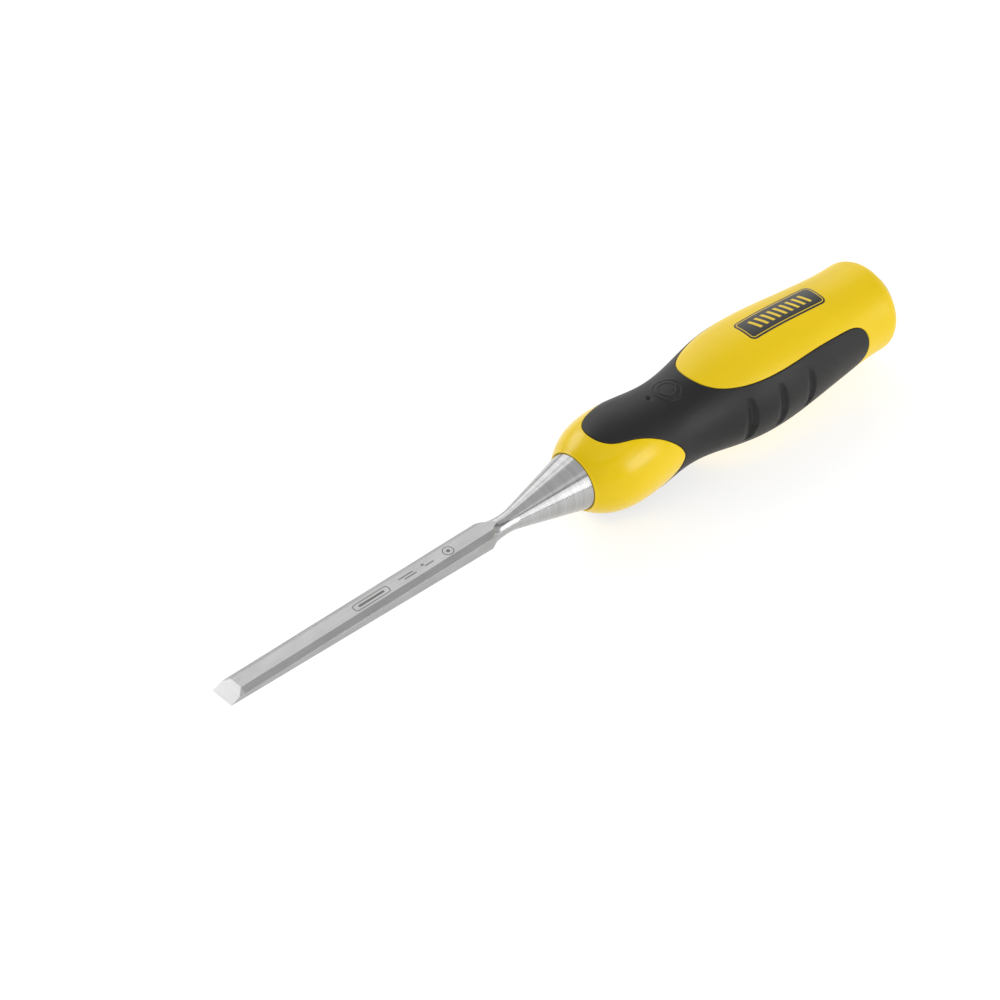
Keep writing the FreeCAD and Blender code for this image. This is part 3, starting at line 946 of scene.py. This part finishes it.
def grip_rings(handle):
    """Rings of the closed sleeve: up its front wall, over the rounded front edge, along the
    outside to the rear edge, down, and back along the inside."""
    front, rear = parting_line(GRIP_FRONT), parting_line(GRIP_REAR)
    gap, width, inside = handle.gap, handle.band, GRIP_PLAY - handle.wall
    start, end = beside(front, gap), beside(rear, -gap)
    distances = strip(handle.grip_edge, width)
    rings = Rings(CORE_COLUMNS)
    rings.drape(start, inside)
    rings.follow(front, 1, distances, handle.grip_edge, gap, handle.proud)
    places = through_waist(beside(front, gap + width), beside(rear, -gap - width), 80, 136)
    rings.drape(places, handle.proud - groove_depth(*places) + raised_marks(handle, *places))
    rings.follow(rear, -1, distances[::-1], handle.grip_edge, gap, handle.proud)
    rings.drape(end, inside)
    rings.drape([part[::-1] for part in through_waist(start, end, 12, 14)], inside)
    return rings.points()


class CHISEL_OT_add_grip(bpy.types.Operator):
    """Mould the soft black grip into the core's recess"""
    bl_idname = "chisel.add_grip"
    bl_label = "Grip"

    def execute(self, context):
        settings = context.scene.chisel
        points, faces = skin(grip_rings(settings.handle), ring_closed=True)
        new_piece("grip_sleeve", points, faces, "grip_overmould",
                  [soft_rubber(settings.colours, settings.handle)], crease=50.0)
        return {"FINISHED"}


# ---- the label ----

def label_rings(label):
    """Rings of a thin rounded rectangle laid on the handle: its outline, of four quarter circles
    joined by straight lines and divided evenly, is drawn in towards the middle, over its edge
    and back underneath. A point's angle is its width over the radius."""
    corner_x, corner_y = label.length / 2 - label.corner, label.width / 2 - label.corner
    turned = np.linspace(0, TURN, 64, endpoint=False) + TURN / 128
    bends = np.stack([np.sign(np.cos(turned)) * corner_x + label.corner * np.cos(turned),
                      np.sign(np.sin(turned)) * corner_y + label.corner * np.sin(turned)], -1)
    bends = np.vstack([bends, bends[:1]])
    run = np.concatenate([[0], np.cumsum(np.linalg.norm(np.diff(bends, axis=0), axis=1))])
    even = np.linspace(0, run[-1], 240, endpoint=False)
    outline = [np.interp(even, run, bends[:, part]) for part in (0, 1)]
    bend = np.linspace(0, TURN / 4, 4)
    middle, edge, roll = 0.12, 0.94, 0.015
    share = np.concatenate([np.linspace(middle, edge, 14), 1 - roll * (1 - np.sin(bend)),
                            np.linspace(1.0, middle, 14)])[:, None]
    lift = np.concatenate([np.ones(14), np.cos(bend), -np.ones(14)])[:, None]
    along = label.along + outline[0] * share
    radius = handle_radius(along) + label.thickness * lift
    ends = on_axis(label.along, 0.0, handle_radius(label.along)
                   + label.thickness * np.array([1, -1]))
    return on_axis(along, outline[1] * share / radius, radius), ends


class CHISEL_OT_add_label(bpy.types.Operator):
    """Lay the plain label on top of the handle"""
    bl_idname = "chisel.add_label"
    bl_label = "Label"

    def execute(self, context):
        settings = context.scene.chisel
        rings, ends = label_rings(settings.label)
        points, faces = skin(rings, ends)
        new_piece("handle_label", points, faces, None,
                  [printed_label(settings.colours, settings.label)], crease=50.0)
        return {"FINISHED"}


# ---- the strike cap ----

def cap_rings(cap):
    """Rings of the cap, a turned outline: the stem, the back of the disc, its side, its rounded
    rim and its flat face."""
    end = HANDLE[-1, 0]
    face, floor, radius = end + cap.stand, end - cap.depth, cap.radius - CAP_PLAY
    angle = np.arange(128) * TURN / 128
    rings = Rings(len(angle))
    rings.add(column(floor - cap.stem_length, floor), angle, cap.stem_radius - CAP_PLAY)
    rings.add(column(floor, floor + 0.2 * MM), angle, radius)
    bend = np.linspace(0, TURN / 4, 9)[:, None]
    rings.add(face - cap.rim * (1 - np.sin(bend)), angle, radius - cap.rim * (1 - np.cos(bend)))
    rings.add(face, angle, np.linspace(cap.radius - 1.2 * cap.rim, 1 * MM, 8)[:, None])
    return rings.points(), on_axis(np.array([floor - cap.stem_length, face]), 0.0, 0.0)


class CHISEL_OT_add_cap(bpy.types.Operator):
    """Turn the steel strike cap with its stem"""
    bl_idname = "chisel.add_cap"
    bl_label = "Strike cap"

    def execute(self, context):
        settings = context.scene.chisel
        rings, ends = cap_rings(settings.cap)
        points, faces = skin(rings, ends)
        steel = turned_steel("turned_cap_steel", settings.colours, spacing=0.4, rough_low=0.2,
                             rough_high=0.3, depth=0.02)
        new_piece("strike_cap_disc", points, faces, "strike_cap", [steel])
        return {"FINISHED"}


# ---- the stage ----

# Softboxes: name, azimuth and elevation of its centre seen from the chisel, its width and
# height, all in degrees, and its radiance. Azimuth zero is towards +Y and ninety towards +X.
SOFTBOXES = (
    ("back_softbox", 16, 36, 80, 50, 0.95),
    ("back_key", 346, 32, 30, 24, 3.4),
    ("front_key", 155, 14, 32, 24, 4.2),
    ("front_softbox", 163, 24, 30, 36, 1.15),
    ("top_softbox", 192, 56, 56, 16, 0.35),
)
SOFTBOX_DISTANCE = 1.6

# The surround's strength, and its dark bands: the sine of each one's elevation, its strength,
# and how far to each side it stays dark and reaches.
SURROUND = 0.75
DARK_BANDS = ((0.03, 0.4, 0.02, 0.05), (0.69, 0.25, 0.045, 0.09))


def add_softbox(name, azimuth, elevation, width, height, radiance):
    """A rectangular area light that faces the chisel. Its power is its radiance times its area
    times pi. The camera doesn't see it."""
    turned, raised = math.radians(azimuth), math.radians(elevation)
    toward = Vector((math.sin(turned) * math.cos(raised), math.cos(turned) * math.cos(raised),
                     math.sin(raised)))
    light = bpy.data.lights.new(name, "AREA")
    light.shape = "RECTANGLE"
    light.size = 2 * SOFTBOX_DISTANCE * math.tan(math.radians(width) / 2)
    light.size_y = 2 * SOFTBOX_DISTANCE * math.tan(math.radians(height) / 2)
    light.energy = radiance * light.size * light.size_y * math.pi
    lamp = new_object(name, light)
    lamp.location = toward * SOFTBOX_DISTANCE
    lamp.rotation_euler = toward.to_track_quat("Z", "Y").to_euler()
    lamp.visible_camera = False


def add_floor(colours):
    """A flat round sheet of paper under the chisel, through rings about its middle."""
    angle = np.arange(64) * TURN / 64
    spans = column(0.3, 0.8, 1.6, 3.0)
    rings = np.stack([spans * np.cos(angle), spans * np.sin(angle), spans * np.zeros(64)], -1)
    points, faces = skin(rings, [(0, 0, 0)])
    floor = new_surface("paper_floor", points, faces, [studio_paper(colours)])


def add_camera(studio):
    """The camera, at a distance from its aim along the azimuth and elevation, rolled about its
    own view."""
    raised = studio.elevation
    back = Vector((math.sin(studio.azimuth) * math.cos(raised),
                   -math.cos(studio.azimuth) * math.cos(raised), math.sin(raised)))
    right = Vector((math.cos(studio.azimuth), math.sin(studio.azimuth), 0))
    upward = back.cross(right)
    view = Matrix((right, upward, back)).transposed() @ Matrix.Rotation(studio.roll, 3, "Z")
    lens = bpy.data.cameras.new("studio_camera")
    lens.sensor_width = 36
    lens.lens = studio.lens
    lens.clip_start = 0.01
    camera = new_object("studio_camera", lens)
    camera.matrix_world = (Matrix.Translation(Vector(studio.aim) + back * studio.distance)
                           @ view.to_4x4())
    bpy.context.scene.camera = camera


def add_surround():
    """White light from all round, as from the walls of a white studio, with a darker band at
    the sheet's edge and another under the ceiling."""
    world = bpy.data.worlds.new("white_studio")
    world.use_nodes = True
    nodes = Nodes(world.node_tree)
    background = nodes.tree.nodes["Background"]
    height = nodes.part(nodes.add("ShaderNodeTexCoord").outputs["Generated"], "Z")
    bands = []
    for middle, dark, near, far in DARK_BANDS:
        away = nodes.maths("ABSOLUTE", nodes.maths("SUBTRACT", height, middle))
        bands.append(nodes.spread(away, dark, SURROUND, near, far, smooth=True))
    nodes.tree.links.new(nodes.maths("MINIMUM", *bands), background.inputs["Strength"])
    background.inputs["Color"].default_value = (1, 1, 1, 1)
    bpy.context.scene.world = world


class CHISEL_OT_add_stage(bpy.types.Operator):
    """Set the paper, the softboxes and the camera"""
    bl_idname = "chisel.add_stage"
    bl_label = "Stage"

    def execute(self, context):
        settings = context.scene.chisel
        context.scene.view_settings.view_transform = "Standard"
        add_surround()
        add_floor(settings.colours)
        for softbox in SOFTBOXES:
            add_softbox(*softbox)
        add_camera(settings.studio)
        return {"FINISHED"}


# ---- the add-on ----

OPERATORS = (CHISEL_OT_add_blade, CHISEL_OT_add_core, CHISEL_OT_add_grip, CHISEL_OT_add_label,
             CHISEL_OT_add_cap, CHISEL_OT_add_stage)
GROUPS = (ChiselBlade, ChiselHandle, ChiselCap, ChiselLabel, ChiselColours, ChiselStudio,
          ChiselSettings)


class CHISEL_PT_pieces(bpy.types.Panel):
    """The chisel's pieces and sizes"""
    bl_label = "Bench Chisel"
    bl_space_type = "VIEW_3D"
    bl_region_type = "UI"
    bl_category = "Chisel"

    def draw(self, context):
        for operator in OPERATORS:
            self.layout.operator(operator.bl_idname)
        settings = context.scene.chisel
        for group in (settings.blade, settings.handle, settings.cap, settings.label,
                      settings.colours, settings.studio):
            box = self.layout.box()
            for name in group.__annotations__:
                box.prop(group, name, text=name.replace("_", " ").capitalize())


def register():
    for item in (*GROUPS, *OPERATORS, CHISEL_PT_pieces):
        bpy.utils.register_class(item)
    bpy.types.Scene.chisel = bpy.props.PointerProperty(type=ChiselSettings)


def unregister():
    del bpy.types.Scene.chisel
    for item in reversed((*GROUPS, *OPERATORS, CHISEL_PT_pieces)):
        bpy.utils.unregister_class(item)


def main():
    """Builds every piece and the stage."""
    register()
    bpy.ops.chisel.add_blade()
    bpy.ops.chisel.add_core()
    bpy.ops.chisel.add_grip()
    bpy.ops.chisel.add_label()
    bpy.ops.chisel.add_cap()
    bpy.ops.chisel.add_stage()


if __name__ == "__main__":
    main()
